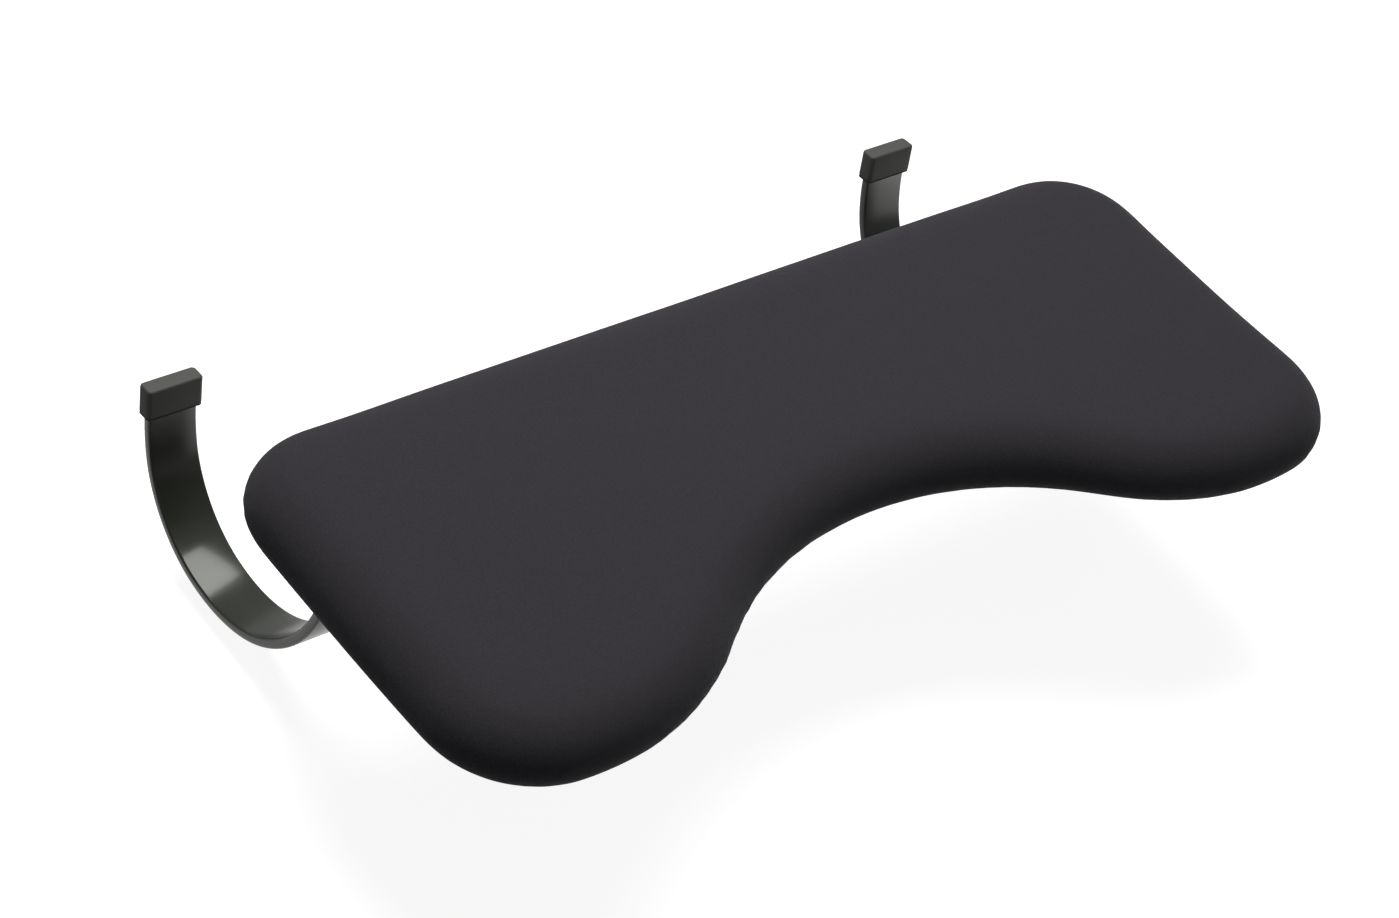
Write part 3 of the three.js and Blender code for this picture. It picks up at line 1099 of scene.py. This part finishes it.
def softbox(name, place, target, size, power):
    deselect()
    bpy.ops.object.light_add(type="AREA", location=place)
    light = bpy.context.object
    light.name = light.data.name = name
    light.data.shape = "RECTANGLE"
    light.data.size, light.data.size_y = size
    light.data.energy = power
    aim(light, target)
    return light


FLOOR_SIZE = 14
AIM_POINT = (0, -0.02, 0)  # the lights' target
OVERHEAD_PLACE = (0.12, 0.58, 1.6)
OVERHEAD_SIZE = (1.2, 1.3)
FILL_PLACE = (-0.7, -1.9, 0.9)
FILL_SIZE = (1.2, 1.2)
BACKDROP = 1.9  # grey behind the object; half of it reaches the picture

# Grey of the surroundings against the sine of their height over the horizon.
NADIR = 0.85
ZENITH = 0.50
SKY = (
    (-0.55, 0.75), (-0.25, 0.12), (-0.05, 0.26), (0.1, 0.34),
    (0.22, 0.12), (0.3, 0.05), (0.6, 0.07), (0.85, 0.25),
)


class SUPPORT_OT_stage(bpy.types.Operator):
    """Set up the pale floor, the studio lights, the surroundings and the camera"""

    bl_idname = "support.stage"
    bl_label = "Stage"

    def make_floor(self, stage):
        deselect()
        height = CAD_BOX[0].z - stage.floor_gap
        bpy.ops.mesh.primitive_plane_add(size=FLOOR_SIZE, location=(0, 0, height))
        floor = name_piece("floor")
        apply_place(floor)
        paper = Recipe("floor_paper")
        paper.shade(
            Base_Color=paper.tint(stage.floor, paper.noise(paper.place(), 3.0), 0.99, 1.0),
            Roughness=0.9,
            Specular_IOR_Level=0.1,
            Emission_Color=(1, 1, 1, 1),
            Emission_Strength=stage.glow,
        )
        clear = paper.node("ShaderNodeBsdfTransparent").outputs["BSDF"]
        below = paper.node("ShaderNodeNewGeometry").outputs["Backfacing"]
        sides = {0: below, 1: paper.shader.outputs["BSDF"], 2: clear}
        see_through = paper.node("ShaderNodeMixShader", sides)
        paper.put(paper.tree.nodes["Material Output"], "Surface", see_through.outputs[0])
        floor.data.materials.append(paper.material)
        floor.visible_diffuse = False
        floor.visible_glossy = False

    def make_world(self, stage):
        world = bpy.data.worlds.new("studio")
        bpy.context.scene.world = world
        world.use_nodes = True
        nodes, links = world.node_tree.nodes, world.node_tree.links

        def rise(value, low, high, top):
            """Climbs smoothly from 0 at low to top at high."""
            reach = nodes.new("ShaderNodeMapRange")
            reach.interpolation_type = "SMOOTHSTEP"
            for socket, number in (("From Min", low), ("From Max", high), ("To Max", top)):
                reach.inputs[socket].default_value = number
            links.new(value, reach.inputs["Value"])
            return reach.outputs["Result"]

        def combine(kind, first, second):
            sums = nodes.new("ShaderNodeMath")
            sums.operation = kind
            links.new(first, sums.inputs[0])
            links.new(second, sums.inputs[1])
            return sums.outputs["Value"]

        split = nodes.new("ShaderNodeSeparateXYZ")
        links.new(nodes.new("ShaderNodeTexCoord").outputs["Generated"], split.inputs[0])
        x, y, z = split.outputs
        height = nodes.new("ShaderNodeMapRange")
        height.inputs["From Min"].default_value = -1
        links.new(z, height.inputs["Value"])
        ramp = nodes.new("ShaderNodeValToRGB")
        links.new(height.outputs["Result"], ramp.inputs["Fac"])
        levels = ramp.color_ramp.elements
        levels[0].color = (NADIR, NADIR, NADIR, 1)
        levels[1].color = (ZENITH, ZENITH, ZENITH, 1)
        for level, grey in SKY:
            levels.new((level + 1) / 2).color = (grey, grey, grey, 1)
        low_down = rise(z, 0.05, -0.25, 1)
        side_floor = combine("MULTIPLY", rise(x, 0.46, 0.58, stage.side_glow), low_down)
        cards = combine("ADD", side_floor, rise(y, 0.35, 0.75, stage.rear_glow))
        path = nodes.new("ShaderNodeLightPath").outputs
        gloss = path["Is Glossy Ray"]
        backdrop = rise(path["Is Camera Ray"], 0, 1, BACKDROP)
        around = combine("ADD", ramp.outputs["Color"], combine("MULTIPLY", cards, gloss))
        links.new(combine("MAXIMUM", around, backdrop), nodes["Background"].inputs["Color"])
        links.new(rise(gloss, -1, 1, 1), nodes["Background"].inputs["Strength"])

    def make_camera(self, stage):
        deselect()
        bpy.ops.object.camera_add()
        camera = bpy.context.object
        camera.name = camera.data.name = "view_camera"
        a, e, r = stage.azimuth, stage.elevation, stage.roll
        back = Vector((sin(a) * cos(e), -cos(a) * cos(e), sin(e)))
        right = (-back).cross(Vector((0, 0, 1))).normalized()
        up = right.cross(-back)
        right, up = cos(r) * right + sin(r) * up, -sin(r) * right + cos(r) * up
        place = Vector((0, stage.aim_y, 0)) + back * stage.distance
        place += right * stage.shift_right + up * stage.shift_up
        turn = Matrix((right, up, back)).transposed().to_4x4()
        camera.matrix_world = Matrix.Translation(place) @ turn
        camera.data.sensor_width = 36
        camera.data.lens = stage.lens
        camera.data.clip_start = 0.05
        camera.data.clip_end = 40
        bpy.context.scene.camera = camera

    def execute(self, context):
        stage = settings().stage
        middle = Vector(AIM_POINT)
        softbox("overhead_softbox", OVERHEAD_PLACE, middle, OVERHEAD_SIZE, stage.key_power)
        softbox("front_fill", FILL_PLACE, middle, FILL_SIZE, stage.fill_power)
        self.make_floor(stage)
        self.make_world(stage)
        self.make_camera(stage)
        bpy.context.scene.view_settings.view_transform = "Standard"
        return {"FINISHED"}


# ---- add-on

OPERATORS = (
    SUPPORT_OT_stage,
    SUPPORT_OT_cover,
    SUPPORT_OT_liner,
    SUPPORT_OT_staples,
    SUPPORT_OT_hook_bars,
    SUPPORT_OT_end_caps,
    SUPPORT_OT_fasteners,
    SUPPORT_OT_inner_parts,
)


class SUPPORT_PT_panel(bpy.types.Panel):
    """Lists the pieces and their settings"""

    bl_idname = "SUPPORT_PT_panel"
    bl_label = "Forearm support"
    bl_space_type = "VIEW_3D"
    bl_region_type = "UI"
    bl_category = "Forearm support"

    def draw(self, context):
        values = context.scene.forearm_support
        for operator in OPERATORS:
            self.layout.operator(operator.bl_idname)
        for group in ("pad", "liner", "bar", "cap", "fastener", "finish", "stage"):
            box = self.layout.box()
            box.label(text=group.capitalize())
            for key in getattr(values, group).__annotations__:
                box.prop(getattr(values, group), key)


CLASSES = (
    PadSettings,
    LinerSettings,
    BarSettings,
    CapSettings,
    FastenerSettings,
    FinishSettings,
    StageSettings,
    SupportSettings,
    *OPERATORS,
    SUPPORT_PT_panel,
)


def register():
    for cls in CLASSES:
        bpy.utils.register_class(cls)
    bpy.types.Scene.forearm_support = PointerProperty(type=SupportSettings)


def unregister():
    del bpy.types.Scene.forearm_support
    for cls in reversed(CLASSES):
        bpy.utils.unregister_class(cls)


def main():
    register()
    bpy.ops.support.stage()
    bpy.ops.support.cover()
    bpy.ops.support.liner()
    bpy.ops.support.staples()
    bpy.ops.support.hook_bars()
    bpy.ops.support.end_caps()
    bpy.ops.support.fasteners()
    bpy.ops.support.inner_parts()


if __name__ == "__main__":
    main()
